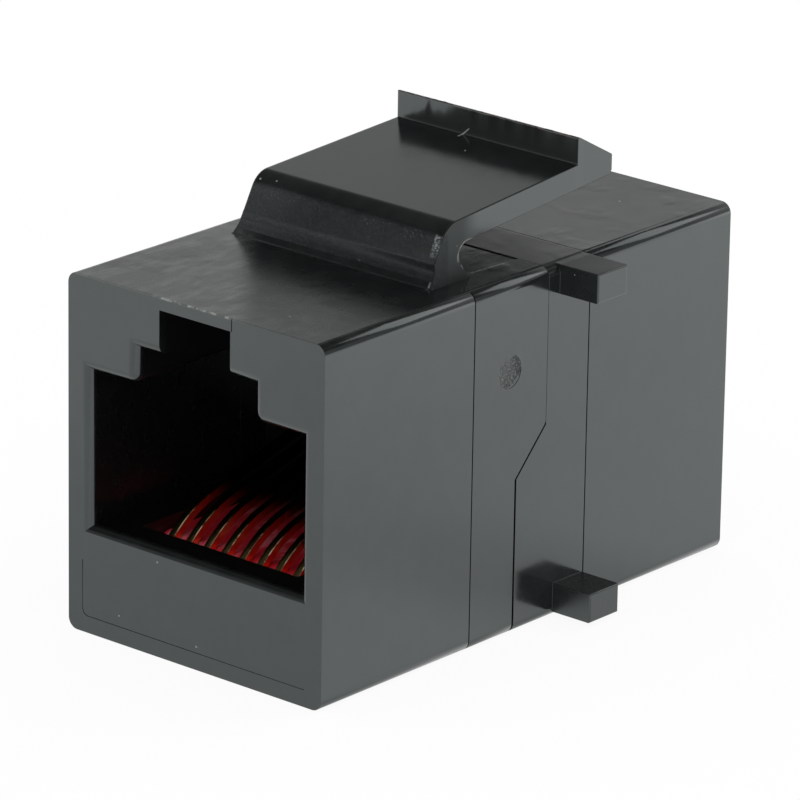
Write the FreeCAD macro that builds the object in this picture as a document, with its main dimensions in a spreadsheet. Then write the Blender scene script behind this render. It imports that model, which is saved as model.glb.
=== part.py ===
import FreeCAD, Part
import Sketcher

import math
import os
import re

# Inline coupler that joins two eight-way modular plugs end to end.
# Two boxes meet at a zigzag seam, and each holds a red carrier. Eight gold wires pass
# through both carriers and spring up into both ports. A latch arm on top grips a panel.
# X is across the port, Y runs from the front port to the rear port and Z is up.
# The origin is on the bottom face, at mid length. The rear half is the front half
# turned half a turn about X, so the rear port is upside down.

DRIVING_SIZES = {
    # port opening, as seen from its face
    "plug_width": 12.0,
    "plug_height": 7.0,
    "step_width": 6.6,
    "step_rise": 1.65,
    "catch_width": 4.0,
    "catch_rise": 2.0,
    "lead_in": 0.45,
    "step_corner": 0.5,
    # walls of each box
    "side_wall": 1.25,
    "floor_wall": 0.9,
    "roof_wall": 0.58,
    "face_plate": 1.6,
    "partition": 1.1,
    "chamber_wall": 1.35,
    "edge_radius": 0.5,
    # lengths along the port
    "port_depth": 11.2,
    "web_room": 1.075,
    "fit": 0.05,
    # zigzag seam between the two boxes
    "seam_offset": 0.95,
    "slant_half": 1.0,
    "seam_gap": 0.1,
    "seam_hairline": 0.01,
    "seam_step": 0.15,
    # marks that the mould leaves
    "groove_width": 0.06,
    "groove_depth": 0.04,
    "groove_bevel": 0.15,
    "front_groove": 9.47,
    "rear_groove": 9.63,
    "insert_width": 4.2,
    "insert_depth": 0.04,
    "witness_side": 0.8,
    "witness_floor": 0.77,
    "witness_top": 3.3,
    "witness_end": 0.94,
    "witness_corner": 0.3,
    "witness_width": 0.05,
    "witness_depth": 0.03,
    "gate_radius": 0.75,
    "gate_depth": 0.02,
    "gate_setback": 11.85,
    "gate_height": 12.06,
    # contacts and their carrier
    "contact_count": 8,
    "contact_pitch": 1.016,
    "wire_width": 0.34,
    "wire_thickness": 0.4,
    "wire_fit": 0.04,
    "carrier_width": 8.8,
    "sill_rise": 4.0,
    "nose_bend": 0.9,
    "foot_bend": 0.6,
    "web_bend": 0.7,
    "wire_floor": 0.17,
    "wire_setback": 0.56,
    "nose_rise": 3.67,
    "contact_slope": 45.0,
    "tip_slope": 15.0,
    "contact_bend": 5.4,
    "tip_reach": 0.5,
    "comb_width": 0.5,
    "comb_depth": 0.8,
    "comb_rise": 3.3,
    "web_foot": 0.87,
    # square studs on the rear box
    "peg_reach": 2.1,
    "peg_length": 1.95,
    "peg_height": 1.33,
    "peg_setback": 9.75,
    "top_peg_inset": 0.03,
    "bottom_peg_inset": 0.28,
    # latch arm
    "latch_setback": 9.75,
    "latch_axis_rise": 0.87,
    "latch_width": 11.0,
    "latch_taper": 0.38,
    "root_radius": 0.79,
    "root_fit": 0.03,
    "flange": 0.05,
    "foot_flare": 0.41,
    "arm_rise": 1.66,
    "arm_slope": 0.065,
    "arm_thickness": 1.13,
    "arm_reach": 8.9,
    "lean_start": 0.15,
    "bend_outer": 0.9,
    "bend_inner": 0.6,
    "lip_height": 1.29,
    "lip_length": 2.45,
    "lip_fall": 1.33,
    "lip_bevel": 0.16,
    "well_depth": 0.045,
    "foot_drop": 0.24,
}

DERIVED_SIZES = {
    "body_width": "plug_width + 2 * side_wall",
    "sill_height": "floor_wall + sill_rise",
    "plug_top": "sill_height + plug_height",
    "step_top": "plug_top + step_rise",
    "catch_top": "step_top + catch_rise",
    "body_height": "catch_top + roof_wall",
    "web_start": "port_depth + partition",
    "half_length": "web_start + web_room",
    "chamber_width": "body_width - 2 * chamber_wall",
    "pocket_width": "carrier_width + 2 * fit",
    "latch_height": "body_height + latch_axis_rise",
    "contact_span": "(contact_count - 1) * contact_pitch",
    "witness_turn": "0.3 * witness_corner",
}

# How far one solid runs into another where the two are joined, or a cut runs past a face.
BITE = 0.3
TINY = 1e-4

doc = FreeCAD.newDocument("InlineCoupler")
sizes = doc.addObject("Spreadsheet::Sheet", "Sizes")


def fill_sheet():
    """One row for each size: its name, its value and an alias of the same name."""
    cells = [(name, str(value)) for name, value in DRIVING_SIZES.items()]
    cells += [(name, "=" + formula) for name, formula in DERIVED_SIZES.items()]
    for row, (name, content) in enumerate(cells, start=1):
        sizes.set(f"A{row}", name)
        sizes.set(f"B{row}", content)
        sizes.setAlias(f"B{row}", name)
    doc.recompute()


def size(name):
    """A size from the sheet, as a plain number."""
    return float(sizes.get(name))


def linked(expression):
    """The expression with each size in it written as a cell of the sheet."""
    def cell(match):
        word = match.group()
        return f"Sizes.{word}" if word in DRIVING_SIZES or word in DERIVED_SIZES else word

    return re.sub(r"[a-z_]+", cell, expression)


def new_body(name):
    body = doc.addObject("PartDesign::Body", name)
    body.Label = name
    return body


def origin_plane(body, role):
    return next(item for item in body.Origin.OriginFeatures if item.Role == role)


def new_sketch(body, name, plane, offset):
    """An empty sketch, offset along the normal of one of the body's own planes."""
    sketch = body.newObject("Sketcher::SketchObject", name)
    sketch.AttachmentSupport = (origin_plane(body, plane), "")
    sketch.MapMode = "FlatFace"
    sketch.setExpression("AttachmentOffset.Base.z", linked(offset))
    return sketch


def add_outline(sketch, corners):
    """A closed outline of straight lines, each corner held by two expressions."""
    pairs = [(linked(across), linked(along)) for across, along in corners]
    places = [
        FreeCAD.Vector(float(sketch.evalExpression(across)), float(sketch.evalExpression(along)), 0)
        for across, along in pairs
    ]
    first = sketch.GeometryCount
    for index, place in enumerate(places):
        following = places[(index + 1) % len(places)]
        sketch.addGeometry(Part.LineSegment(place, following), False)
    for index, (across, along) in enumerate(pairs):
        line = first + index
        after = first + (index + 1) % len(pairs)
        sketch.addConstraint(Sketcher.Constraint("Coincident", line, 2, after, 1))
        for kind, expression, value in (
            ("DistanceX", across, places[index].x),
            ("DistanceY", along, places[index].y),
        ):
            number = sketch.addConstraint(Sketcher.Constraint(kind, -1, 1, line, 1, value))
            sketch.setExpression(f"Constraints[{number}]", expression)


def add_circle(sketch, across, along, radius):
    """A circle whose centre and radius are held by expressions."""
    across, along, radius = linked(across), linked(along), linked(radius)
    centre = FreeCAD.Vector(
        float(sketch.evalExpression(across)), float(sketch.evalExpression(along)), 0
    )
    width = float(sketch.evalExpression(radius))
    circle = sketch.addGeometry(Part.Circle(centre, FreeCAD.Vector(0, 0, 1), width), False)
    for constraint, expression in (
        (Sketcher.Constraint("DistanceX", -1, 1, circle, 3, centre.x), across),
        (Sketcher.Constraint("DistanceY", -1, 1, circle, 3, centre.y), along),
        (Sketcher.Constraint("Radius", circle, width), radius),
    ):
        number = sketch.addConstraint(constraint)
        sketch.setExpression(f"Constraints[{number}]", expression)


def rectangle(left, right, bottom, top):
    return [(left, bottom), (right, bottom), (right, top), (left, top)]


def centred(width, bottom, top):
    """A rectangle as wide as the named size, centred on the vertical axis."""
    return rectangle(f"0 - {width} / 2", f"{width} / 2", bottom, top)


def pad(body, name, sketch, length):
    """Material added evenly to both sides of the sketch."""
    feature = body.newObject("PartDesign::Pad", name)
    feature.Profile = sketch
    feature.SideType = "Symmetric"
    feature.setExpression("Length", linked(length))
    doc.recompute()
    return feature


def pocket(body, name, sketch, depth=None, both_sides=False, towards_normal=False):
    """Material taken away behind the sketch, to a depth or right through."""
    before = body.Shape.Volume
    feature = body.newObject("PartDesign::Pocket", name)
    feature.Profile = sketch
    feature.Reversed = towards_normal
    if both_sides:
        feature.SideType = "Symmetric"
    if depth is None:
        feature.Type = "ThroughAll"
    else:
        feature.setExpression("Length", linked(depth))
    doc.recompute()
    if body.Shape.Volume > before - TINY:
        raise RuntimeError(f"{body.Label}: {name} cuts nothing")
    return feature


def repeat_across(body, name, feature, sketch):
    """Copies of a feature, one for each contact."""
    pattern = body.newObject("PartDesign::LinearPattern", name)
    pattern.Originals = [feature]
    pattern.Direction = (sketch, ["H_Axis"])
    pattern.setExpression("Length", linked("contact_span"))
    pattern.setExpression("Occurrences", linked("contact_count"))
    body.Tip = pattern
    doc.recompute()


def round_edges(body, name, radius, chosen):
    """A fillet on every edge of the body so far that the test picks out."""
    base = body.Tip
    names = [
        f"Edge{number}"
        for number, edge in enumerate(base.Shape.Edges, start=1)
        if chosen(edge)
    ]
    fillet = body.newObject("PartDesign::Fillet", name)
    fillet.Base = (base, names)
    fillet.setExpression("Radius", linked(radius))
    doc.recompute()
    return fillet


def is_along(edge, axis):
    """True for a straight edge that runs along the axis numbered 0, 1 or 2."""
    if len(edge.Vertexes) < 2:
        return False
    run = edge.Vertexes[-1].Point - edge.Vertexes[0].Point
    return run.Length > TINY and abs(abs(run[axis]) - run.Length) < TINY


def middle(edge):
    return edge.CenterOfMass


def near(value, target):
    return abs(value - target) < TINY


def blank_box(body, lower_gap):
    """The outer block, with its half of the zigzag seam at the inner end."""
    side = new_sketch(body, "SideOutline", "YZ_Plane", "0")
    add_outline(side, [
        ("0 - half_length", "0"),
        (f"0 - seam_offset - {lower_gap}", "0"),
        (f"0 - seam_offset - {lower_gap}", "body_height / 2 - slant_half"),
        (f"seam_offset - {lower_gap}", "body_height / 2 + slant_half"),
        ("seam_offset - seam_hairline", "body_height / 2 + slant_half + seam_step"),
        ("seam_offset - seam_hairline", "body_height"),
        ("0 - half_length", "body_height"),
    ])
    pad(body, "Block", side, "body_width")
    half_width = size("body_width") / 2

    def long_corner(edge):
        if not is_along(edge, 1) or not near(abs(middle(edge).x), half_width):
            return False
        return near(middle(edge).z, 0) or near(middle(edge).z, size("body_height"))

    round_edges(body, "LongEdges", "edge_radius", long_corner)


def add_pegs(body):
    """Two bars across the box: their ends are the studs, and the port cuts out the rest."""
    side = new_sketch(body, "PegOutline", "YZ_Plane", "0")
    front = "peg_setback - half_length"
    back = "peg_setback + peg_length - half_length"
    add_outline(side, rectangle(front, back, "top_peg_inset", "top_peg_inset + peg_height"))
    add_outline(side, rectangle(
        front, back,
        "body_height - bottom_peg_inset - peg_height",
        "body_height - bottom_peg_inset",
    ))
    pad(body, "Pegs", side, "body_width + 2 * peg_reach")


def cut_port(body):
    """The stepped mouth in the face plate, and the room for the plug behind it."""
    face = "half_length"
    mouth = new_sketch(body, "MouthOutline", "XZ_Plane", face)
    add_outline(mouth, [
        ("0 - plug_width / 2", "sill_height"),
        ("plug_width / 2", "sill_height"),
        ("plug_width / 2", "plug_top"),
        ("step_width / 2", "plug_top"),
        ("step_width / 2", "step_top"),
        ("0 - step_width / 2", "step_top"),
        ("0 - step_width / 2", "plug_top"),
        ("0 - plug_width / 2", "plug_top"),
    ])
    pocket(body, "Mouth", mouth, "face_plate")
    cavity = new_sketch(body, "CavityOutline", "XZ_Plane", "half_length - face_plate")
    add_outline(cavity, [
        ("0 - plug_width / 2", "sill_height"),
        ("plug_width / 2", "sill_height"),
        ("plug_width / 2", "plug_top"),
        ("step_width / 2", "plug_top"),
        ("step_width / 2", "catch_top"),
        ("0 - step_width / 2", "catch_top"),
        ("0 - step_width / 2", "plug_top"),
        ("0 - plug_width / 2", "plug_top"),
    ])
    pocket(body, "Cavity", cavity, "port_depth - face_plate")

    def step_corner(edge):
        at_step = near(abs(middle(edge).x), size("step_width") / 2)
        return is_along(edge, 1) and at_step and near(middle(edge).z, size("plug_top"))

    round_edges(body, "StepCorners", "step_corner", step_corner)

    def mouth_edge(edge):
        at = middle(edge)
        inside = abs(at.x) < size("plug_width") / 2 + TINY
        level = size("sill_height") - TINY < at.z < size("step_top") + TINY
        return near(at.y, -size("half_length")) and inside and level

    round_edges(body, "LeadIn", "lead_in", mouth_edge)

    catch = new_sketch(body, "CatchOutline", "XZ_Plane", face)
    add_outline(catch, centred("catch_width", "plug_top", "catch_top"))
    pocket(body, "CatchSlot", catch, "face_plate")



def cut_carrier_room(body):
    """The tunnel for the carrier under the port, and the chamber for its web."""
    tunnel = new_sketch(body, "TunnelOutline", "XZ_Plane", "half_length - face_plate")
    add_outline(tunnel, centred("pocket_width", "floor_wall", "sill_height"))
    pocket(body, "Tunnel", tunnel)
    chamber = new_sketch(body, "ChamberOutline", "XZ_Plane", "half_length - web_start")
    add_outline(chamber, centred("chamber_width", "floor_wall", "body_height - floor_wall"))
    pocket(body, "Chamber", chamber)


def cut_comb(body):
    """Slots in the partition that guide the tips of the contacts."""
    comb = new_sketch(body, "CombOutline", "XZ_Plane", "half_length - port_depth")
    left = "0 - contact_span / 2 - comb_width / 2"
    right = "0 - contact_span / 2 + comb_width / 2"
    add_outline(comb, rectangle(left, right, "sill_height", "sill_height + comb_rise"))
    slot = pocket(body, "CombSlot", comb, "comb_depth")
    repeat_across(body, "CombSlots", slot, comb)


def cut_parting_groove(body, setback):
    """The hairline that runs round the box where the mould parts."""
    ring = new_sketch(body, "GrooveOutline", "XZ_Plane", f"half_length - {setback}")
    outside = f"{BITE} + body_width / 2"
    inside = "body_width / 2 - groove_depth"
    add_outline(ring, rectangle(
        f"0 - {outside}", outside, f"0 - {BITE}", f"body_height + {BITE}"
    ))
    add_outline(ring, [
        (f"0 - {inside} + groove_bevel", "groove_depth"),
        (f"{inside} - groove_bevel", "groove_depth"),
        (inside, "groove_depth + groove_bevel"),
        (inside, "body_height - groove_depth - groove_bevel"),
        (f"{inside} - groove_bevel", "body_height - groove_depth"),
        (f"0 - {inside} + groove_bevel", "body_height - groove_depth"),
        (f"0 - {inside}", "body_height - groove_depth - groove_bevel"),
        (f"0 - {inside}", "groove_depth + groove_bevel"),
    ])
    pocket(body, "PartingGroove", ring, "groove_width")


def cut_insert_mark(body):
    """A fine line in the face beside the catch slot, where an insert of the mould ends."""
    mark = new_sketch(body, "InsertOutline", "XZ_Plane", "half_length")
    add_outline(mark, rectangle(
        "insert_width / 2 - witness_width", "insert_width / 2",
        "catch_top", f"body_height + {BITE}",
    ))
    pocket(body, "InsertMark", mark, "insert_depth")


def add_latch_foot(body):
    """The flared foot of the latch arm, with a round seat for the root of the arm."""
    well = new_sketch(body, "WellOutline", "YZ_Plane", "0")
    add_outline(well, rectangle(
        "latch_setback - half_length", f"seam_offset + {BITE}",
        "body_height - well_depth", f"body_height + {BITE}",
    ))
    pocket(body, "Well", well, "latch_width", both_sides=True)
    foot = new_sketch(body, "FootOutline", "YZ_Plane", "0")
    axis = "latch_setback - half_length"
    top_half = "root_radius + flange"
    base_half = "root_radius + flange + foot_flare"
    add_outline(foot, [
        (f"{axis} - ( {base_half} )", f"body_height - {BITE}"),
        (f"{axis} + ( {base_half} )", f"body_height - {BITE}"),
        (f"{axis} + ( {base_half} )", "body_height"),
        (f"{axis} + ( {top_half} )", "latch_height - foot_drop"),
        (f"{axis} - ( {top_half} )", "latch_height - foot_drop"),
        (f"{axis} - ( {base_half} )", "body_height"),
    ])
    pad(body, "Foot", foot, "latch_width")
    seat = new_sketch(body, "SeatOutline", "YZ_Plane", "0")
    add_circle(seat, axis, "latch_height", "root_radius + root_fit")
    pocket(body, "Seat", seat, f"latch_width + {BITE}", both_sides=True)


def cut_witness_line(body):
    """The fine line that an insert of the mould leaves in the face, round its lower left corner."""
    line = new_sketch(body, "WitnessOutline", "XZ_Plane", "half_length")
    left = "0 - body_width / 2 + witness_side"
    low = "witness_floor"
    add_outline(line, [
        (left, "witness_top"),
        (left, f"{low} + witness_corner"),
        (f"{left} + witness_turn", f"{low} + witness_turn"),
        (f"{left} + witness_corner", low),
        ("body_width / 2 - witness_end", low),
        ("body_width / 2 - witness_end", f"{low} + witness_width"),
        (f"{left} + witness_corner", f"{low} + witness_width"),
        (f"{left} + witness_turn + witness_width", f"{low} + witness_turn + witness_width"),
        (f"{left} + witness_width", f"{low} + witness_corner"),
        (f"{left} + witness_width", "witness_top"),
    ])
    pocket(body, "WitnessLine", line, "witness_depth")


def cut_gate_mark(body):
    """The shallow round spot where the plastic entered the mould, on one side wall."""
    mark = new_sketch(body, "GateOutline", "YZ_Plane", "body_width / 2")
    add_circle(mark, "gate_setback - half_length", "gate_height", "gate_radius")
    pocket(body, "GateMark", mark, "gate_depth")


def make_front_housing():
    body = new_body("front_housing")
    blank_box(body, "seam_gap")
    cut_port(body)
    cut_carrier_room(body)
    cut_comb(body)
    cut_parting_groove(body, "front_groove")
    cut_insert_mark(body)
    cut_witness_line(body)
    add_latch_foot(body)
    cut_gate_mark(body)
    return body


def turn_over(feature):
    """Half a turn about the line across the coupler through its centre."""
    feature.Placement = FreeCAD.Placement(
        FreeCAD.Vector(0, 0, size("body_height")),
        FreeCAD.Rotation(FreeCAD.Vector(1, 0, 0), 180),
    )
    feature.setExpression("Placement.Base.z", linked("body_height"))


def make_rear_housing():
    body = new_body("rear_housing")
    blank_box(body, "seam_hairline")
    add_pegs(body)
    cut_port(body)
    cut_carrier_room(body)
    cut_comb(body)
    cut_parting_groove(body, "rear_groove")
    cut_insert_mark(body)
    turn_over(body)
    return body


def make_carrier(name):
    """A red slab with a round nose under the contacts, and an upright web at its inner end."""
    body = new_body(name)
    nose = "face_plate + wire_setback + wire_thickness + wire_fit - half_length"
    slab_floor = "floor_wall + wire_floor + wire_thickness + wire_fit"
    slab_top = "nose_rise + nose_bend - wire_thickness / 2 - wire_fit"
    side = new_sketch(body, "SlabOutline", "YZ_Plane", "0")
    add_outline(side, rectangle(nose, "web_start + fit - half_length", slab_floor, slab_top))
    pad(body, "Slab", side, "carrier_width")
    front = min(vertex.Point.y for vertex in body.Shape.Vertexes)
    floor = min(vertex.Point.z for vertex in body.Shape.Vertexes)

    def nose_edge(edge):
        return is_along(edge, 0) and near(middle(edge).y, front) and middle(edge).z > floor + TINY

    def foot_edge(edge):
        return is_along(edge, 0) and near(middle(edge).y, front) and near(middle(edge).z, floor)

    round_edges(body, "Nose", "nose_bend - wire_thickness / 2 - wire_fit", nose_edge)
    round_edges(body, "NoseFoot", "foot_bend - wire_thickness / 2 - wire_fit", foot_edge)

    web = new_sketch(body, "WebOutline", "YZ_Plane", "0")
    add_outline(web, rectangle(
        "web_start + fit - half_length", "0",
        f"{slab_floor} + web_foot", "body_height - floor_wall - fit",
    ))
    pad(body, "Web", web, "chamber_width - 2 * fit")

    grooves = new_sketch(body, "WireGroove", "XY_Plane", "0")
    add_outline(grooves, rectangle(
        "0 - contact_span / 2 - wire_width / 2 - wire_fit",
        "0 - contact_span / 2 + wire_width / 2 + wire_fit",
        "0 - wire_thickness / 2 - wire_fit", "wire_thickness / 2 + wire_fit",
    ))
    groove = pocket(body, "Groove", grooves, towards_normal=True)
    repeat_across(body, "Grooves", groove, grooves)
    return body


def make_latch_arm():
    """The sprung arm, whose round root turns in the foot, and the wedge lip at its end."""
    body = new_body("latch_arm")
    axis = "latch_setback - half_length"
    lip = f"{axis} + arm_reach"
    end = f"{lip} + lip_length"
    top_at_lip = "latch_height + arm_rise + arm_slope * arm_reach"
    under = "latch_height + arm_rise - arm_thickness"
    side = new_sketch(body, "ArmOutline", "YZ_Plane", "0")
    add_outline(side, [
        (f"{axis} - root_radius", "latch_height"),
        (f"{axis} + root_radius", "latch_height"),
        (f"{axis} + root_radius", f"{under} + arm_slope * root_radius"),
        (f"{end} - lip_bevel", f"{under} + arm_slope * ( arm_reach + lip_length - lip_bevel )"),
        (end, f"{under} + arm_slope * ( arm_reach + lip_length ) + lip_bevel"),
        (end, f"{top_at_lip} + lip_height - lip_fall"),
        (lip, f"{top_at_lip} + lip_height"),
        (lip, top_at_lip),
        (axis, "latch_height + arm_rise"),
        (f"{axis} - root_radius", "latch_height + lean_start"),
    ])
    pad(body, "Arm", side, "latch_width")
    root = new_sketch(body, "RootOutline", "YZ_Plane", "0")
    add_circle(root, axis, "latch_height", "root_radius")
    pad(body, "Root", root, "latch_width")

    plan = new_sketch(body, "TaperOutline", "XY_Plane", "0")
    for sign in ("", "0 - "):
        add_outline(plan, [
            (f"{sign}( latch_width / 2 )", axis),
            (f"{sign}( latch_width / 2 + {BITE} )", axis),
            (f"{sign}( latch_width / 2 + {BITE} )", f"{end} + {BITE}"),
            (f"{sign}( latch_width / 2 - latch_taper )", f"{end} + {BITE}"),
        ])
    pocket(body, "Taper", plan, towards_normal=True)

    axis_y = size("latch_setback") - size("half_length")
    bend_top = size("latch_height") + size("arm_rise")
    bend_under = bend_top - size("arm_thickness") + size("arm_slope") * size("root_radius")

    def outer_bend(edge):
        at = middle(edge)
        return is_along(edge, 0) and near(at.y, axis_y) and near(at.z, bend_top)

    def inner_bend(edge):
        at = middle(edge)
        return is_along(edge, 0) and near(at.y, axis_y + size("root_radius")) and near(at.z, bend_under)

    round_edges(body, "OuterBend", "min(bend_outer ; arm_rise)", outer_bend)
    round_edges(body, "InnerBend", "min(bend_inner ; arm_rise - arm_thickness)", inner_bend)
    return body


def arc_through(centre, radius, start, finish):
    """An arc in the YZ plane; the angles are the slopes of the path, turning clockwise."""
    def place(slope):
        turn = math.radians(slope)
        return centre + FreeCAD.Vector(0, -radius * math.sin(turn), radius * math.cos(turn))

    return Part.Arc(place(start), place((start + finish) / 2), place(finish)).toShape()


def half_wire_path():
    """The wire's line from the centre of the coupler to its front tip, at X = 0."""
    front = -size("half_length")
    half_thickness = size("wire_thickness") / 2
    bottom = size("floor_wall") + size("wire_floor") + half_thickness
    face = front + size("face_plate") + size("wire_setback") + half_thickness
    web, foot, nose = size("web_bend"), size("foot_bend"), size("nose_bend")
    slope, tip_slope = size("contact_slope"), size("tip_slope")
    bend = size("contact_bend")

    def at(y, z):
        return FreeCAD.Vector(0, y, z)

    middle_point = at(0, size("body_height") / 2)
    web_start = at(0, bottom + web)
    web_knee = at(-web * (1 - math.sqrt(0.5)), bottom + web * (1 - math.sqrt(0.5)))
    web_end = at(-web, bottom)
    foot_start = at(face + foot, bottom)
    foot_knee = at(face + foot * (1 - math.sqrt(0.5)), bottom + foot * (1 - math.sqrt(0.5)))
    foot_end = at(face, bottom + foot)
    nose_centre = at(face + nose, size("nose_rise"))
    nose_start = at(face, size("nose_rise"))
    turn = math.radians(slope)
    nose_end = nose_centre + at(-nose * math.sin(turn), nose * math.cos(turn))
    spring_centre = nose_end + at(bend * math.sin(turn), -bend * math.cos(turn))
    tip_turn = math.radians(tip_slope)
    spring_end = spring_centre + at(-bend * math.sin(tip_turn), bend * math.cos(tip_turn))
    tip_y = front + size("port_depth") + size("tip_reach")
    tip = at(tip_y, spring_end.z + (tip_y - spring_end.y) * math.tan(tip_turn))
    return [
        Part.makeLine(middle_point, web_start),
        Part.Arc(web_start, web_knee, web_end).toShape(),
        Part.makeLine(web_end, foot_start),
        Part.Arc(foot_start, foot_knee, foot_end).toShape(),
        Part.makeLine(foot_end, nose_start),
        arc_through(nose_centre, nose, 90, slope),
        arc_through(spring_centre, bend, slope, tip_slope),
        Part.makeLine(spring_end, tip),
    ]


def contact_solid():
    """One flat-sided wire: the front half path, and the same turned over for the rear port."""
    front_half = half_wire_path()
    centre = FreeCAD.Vector(0, 0, size("body_height") / 2)
    rear_half = [edge.copy() for edge in front_half]
    for edge in rear_half:
        edge.rotate(centre, FreeCAD.Vector(1, 0, 0), 180)
    path = Part.Wire(Part.__sortEdges__(front_half + rear_half))
    tip = path.OrderedVertexes[0].Point
    along = (path.OrderedVertexes[1].Point - tip).normalize()
    across = FreeCAD.Vector(size("wire_width") / 2, 0, 0)
    upright = along.cross(FreeCAD.Vector(1, 0, 0)) * (size("wire_thickness") / 2)
    section = Part.makePolygon([
        tip + across + upright, tip - across + upright,
        tip - across - upright, tip + across - upright,
        tip + across + upright,
    ])
    return path.makePipeShell([section], True, False)


def make_contacts():
    """The row of wires, all alike, one pitch apart."""
    solid = contact_solid()
    contacts = []
    for number in range(int(size("contact_count"))):
        name = f"contact_wire_{number + 1}"
        contact = doc.addObject("Part::Feature", name)
        contact.Label = name
        contact.Shape = solid
        across = number * size("contact_pitch") - size("contact_span") / 2
        contact.Placement = FreeCAD.Placement(
            FreeCAD.Vector(across, 0, 0), FreeCAD.Rotation()
        )
        contacts.append(contact)
    return contacts


def check_document():
    """Stop if any object of the document failed."""
    for item in doc.Objects:
        if "Invalid" in item.State or "Error" in item.State:
            raise RuntimeError(f"{item.Name} failed: {item.State}")


def write_parts(parts):
    os.makedirs("parts", exist_ok=True)
    for part in parts:
        shape = part.Shape
        if shape.isNull() or not shape.isValid() or len(shape.Solids) != 1:
            raise RuntimeError(f"{part.Label} is not one valid solid")
    for part in parts:
        part.Shape.exportStep(f"parts/{part.Label}.step")
        box = part.Shape.BoundBox
        print(
            f"{part.Label}: {part.Shape.Volume:.2f} mm3,"
            f" x {box.XMin:.2f} to {box.XMax:.2f},"
            f" y {box.YMin:.2f} to {box.YMax:.2f},"
            f" z {box.ZMin:.2f} to {box.ZMax:.2f}"
        )


def main():
    fill_sheet()
    parts = [make_front_housing(), make_rear_housing(), make_carrier("front_carrier")]
    rear_carrier = make_carrier("rear_carrier")
    turn_over(rear_carrier)
    parts += [rear_carrier, make_latch_arm()]
    parts += make_contacts()
    doc.recompute()
    check_document()
    write_parts(parts)


main()
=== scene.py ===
import math

import bmesh
import bpy
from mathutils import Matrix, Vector, noise


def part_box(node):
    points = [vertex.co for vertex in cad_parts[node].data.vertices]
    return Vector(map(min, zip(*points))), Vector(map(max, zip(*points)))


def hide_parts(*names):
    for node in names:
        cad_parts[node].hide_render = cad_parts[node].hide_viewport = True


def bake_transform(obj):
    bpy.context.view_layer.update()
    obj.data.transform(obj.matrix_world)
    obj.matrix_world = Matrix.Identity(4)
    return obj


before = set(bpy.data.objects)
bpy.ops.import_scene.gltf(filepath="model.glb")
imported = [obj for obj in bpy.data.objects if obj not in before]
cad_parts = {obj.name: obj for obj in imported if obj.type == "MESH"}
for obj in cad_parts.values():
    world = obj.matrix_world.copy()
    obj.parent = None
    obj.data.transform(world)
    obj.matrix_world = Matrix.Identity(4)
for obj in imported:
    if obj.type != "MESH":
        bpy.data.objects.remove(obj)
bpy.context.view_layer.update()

# Looks of an inline coupler: black moulded boxes, a sprung latch arm, red contact carriers
# and gold contacts. Lengths are written in millimetres and turned into metres by MM.
MM = 0.001

# The camera looks at AIM from this bearing. It was worked out from the edges of the object.
AIM = Vector((0.0, 0.025, 8.0))
BEARING = math.radians(40.677)
ELEVATION = math.radians(19.322)
ROLL = math.radians(0.929)
DISTANCE = 285.46
SLIDE = (-0.1382, 0.6178)
LENS = 296.19
SENSOR = 36.0
CLIP_METRES = (0.01, 20)

# What gloss sees of the sky: its glow falls from a bright horizon to a dark top, between two
# heights above the floor's level, and is weaker far to the right behind and to the left in front.
HORIZON_FADE = (math.radians(15), math.radians(36))
HORIZON_GLOW = (0.64, 0.08)
BEHIND_FADE = (0.8, 0.95)
BEHIND_GLOW = 0.6
BEFORE_FADE = (-0.85, -0.6)
BEFORE_GLOW = 0.5
SOFTBOX_TOWARDS = (0.35, 0.715, 0.60)
SOFTBOX_DISTANCE = 400
SOFTBOX_SIZE = 214
SOFTBOX_POWER = 0.23

FLOOR_HALF = 3000
PAPER = (0.9, 0.9, 0.9)
PAPER_GLOW_SHARE = 0.93

# What gloss sees of the floor, with painted shade near the object and painted light further off: between
# the first two distances the brightness goes from the third number to the fourth. The rows after FLOOR_AWAY
# are added to it.
FLOOR_AWAY = (10, 45, 1.03, 1.12)
FLOOR_BEHIND = (0, 70, 0.0, 0.4)
FLOOR_LEFT = (-32, -18, 0.17, 0.0)
FLOOR_RIGHT = (9, 30, 0.24, 0.0)

# The added painted light on the right starts a little off the object, and has a gap along Y, which is a
# painted shadow of the lower stud.
FLOOR_RIGHT_START = (7.3, 8.5)
FLOOR_RIGHT_GAP = (0, 9, 6)

# Heights and places of the real features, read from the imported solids.
FRONT_LOW, FRONT_HIGH = (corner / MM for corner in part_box("front_housing"))
REAR_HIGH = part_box("rear_housing")[1] / MM
FACE = FRONT_LOW.y
BACK = REAR_HIGH.y
SIDE = FRONT_HIGH.x
TOP = REAR_HIGH.z

PITCH = 1.016
CONTACT_ROW = 7 * PITCH
PORT_HALF = 6.0
PORT_FLOOR = 1.0
PORT_ROOF = 0.6
PORT_MOUTH = 0.35

# Marks on the boxes. The top is grey between the seam and the parting line behind it.
SEAM_TOP = FACE + 14.28
REAR_LINE = FACE + 17.0
REAR_LINE_HALF = 0.05
MATT_FADE = (FACE + 6.5, FACE + 9.0)
STREAK_END = (FACE + 1.9, FACE + 4.2)
STREAK_SLANT = 1.15
# The line below is painted light grey as the highlight of a small step edge on top.
LINE_START = FACE + 8.4
LINE_BEND = FACE + 11.0
LINE_END = FACE + 14.2
LINE_X = (5.47, 5.20, 5.45)
# The flash at the top's front edge is painted light grey as the highlight it catches.
FLASH_HALF = 2.2
GATE = (FACE + 11.85, 12.06)
GATE_TILT = (0.90, 0.43)
GATE_STRETCH = 0.85

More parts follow.
